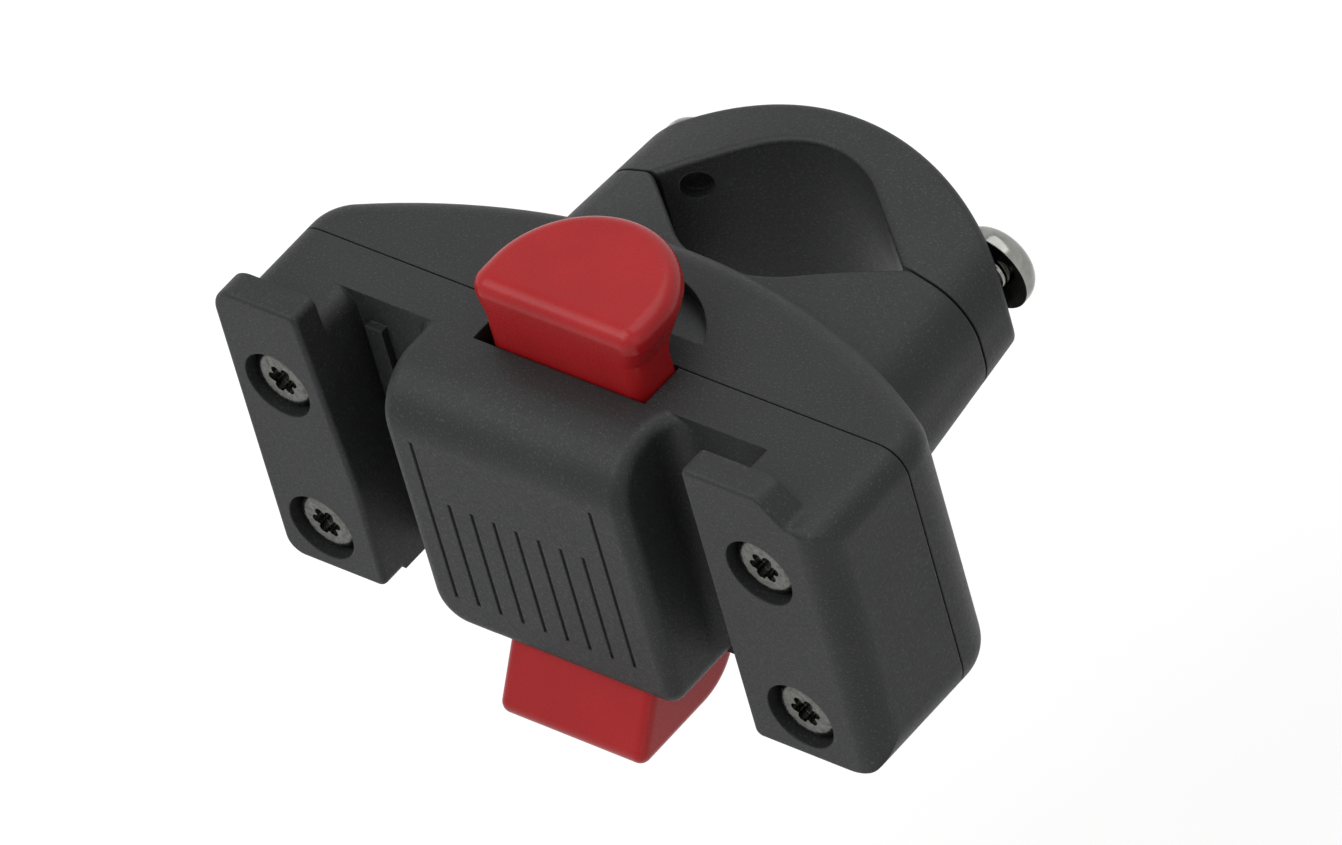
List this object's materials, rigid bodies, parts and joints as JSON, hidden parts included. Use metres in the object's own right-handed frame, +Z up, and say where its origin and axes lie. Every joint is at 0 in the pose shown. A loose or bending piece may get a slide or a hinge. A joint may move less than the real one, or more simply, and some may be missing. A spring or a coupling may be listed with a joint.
{
  "type": "bicycle handlebar bag mount",
  "caption": "Black plastic handlebar bag mount: a slotted holder with a red sprung release button, and a bolted V-jaw clamp for the tube.",
  "frame": {"origin": "on the tube's axis, in the plane where the two clamp jaws meet", "axes": "+X to the right as seen from the bag, +Y from the bag towards the clamp cap, +Z up along the tube"},
  "size_m": [0.078, 0.0602, 0.049],
  "materials": {
    "black_plastic": "fine moulded grain",
    "red_plastic": "satin moulded",
    "screw_steel": "zinc plated",
    "bolt_steel": "polished",
    "spring_steel": "drawn wire"
  },
  "bodies": {
    "housing": {"front_housing": "black_plastic", "rear_housing": "black_plastic", "housing_screw_top_left": "screw_steel", "housing_screw_top_right": "screw_steel", "housing_screw_bottom_left": "screw_steel", "housing_screw_bottom_right": "screw_steel", "clamp_nut_left": "screw_steel", "clamp_nut_right": "screw_steel", "return_spring": "spring_steel"},
    "slider": {"release_slider": "red_plastic"},
    "cap": {"clamp_cap": "black_plastic"},
    "bolt_left": {"clamp_bolt_left": "bolt_steel"},
    "bolt_right": {"clamp_bolt_right": "bolt_steel"}
  },
  "joints": [
    {"name": "button_press", "type": "slide", "parent": "housing", "child": "slider", "axis": [0, 0, -1], "range_m": [0, 0.0036], "stiffness_N_per_m": 800, "springref_m": -0.004, "deforming": ["return_spring"]},
    {"name": "cap_open", "type": "slide", "parent": "housing", "child": "cap", "axis": [0, 1, 0], "range_m": [0, 0.006]},
    {"name": "bolt_right_turn", "type": "hinge", "parent": "cap", "child": "bolt_right", "pos_m": [0.0189, 0.0086, -0.0023], "axis": [0, 1, 0], "range_deg": [0, 3090]},
    {"name": "bolt_left_turn", "type": "hinge", "parent": "cap", "child": "bolt_left", "pos_m": [-0.0189, 0.0086, -0.0023], "axis": [0, 1, 0], "range_deg": [0, 3090]}
  ],
  "couplings": [
    {"joint": "bolt_right_turn", "follows": "cap_open", "rad_per_m": 8976},
    {"joint": "bolt_left_turn", "follows": "cap_open", "rad_per_m": 8976}
  ]
}
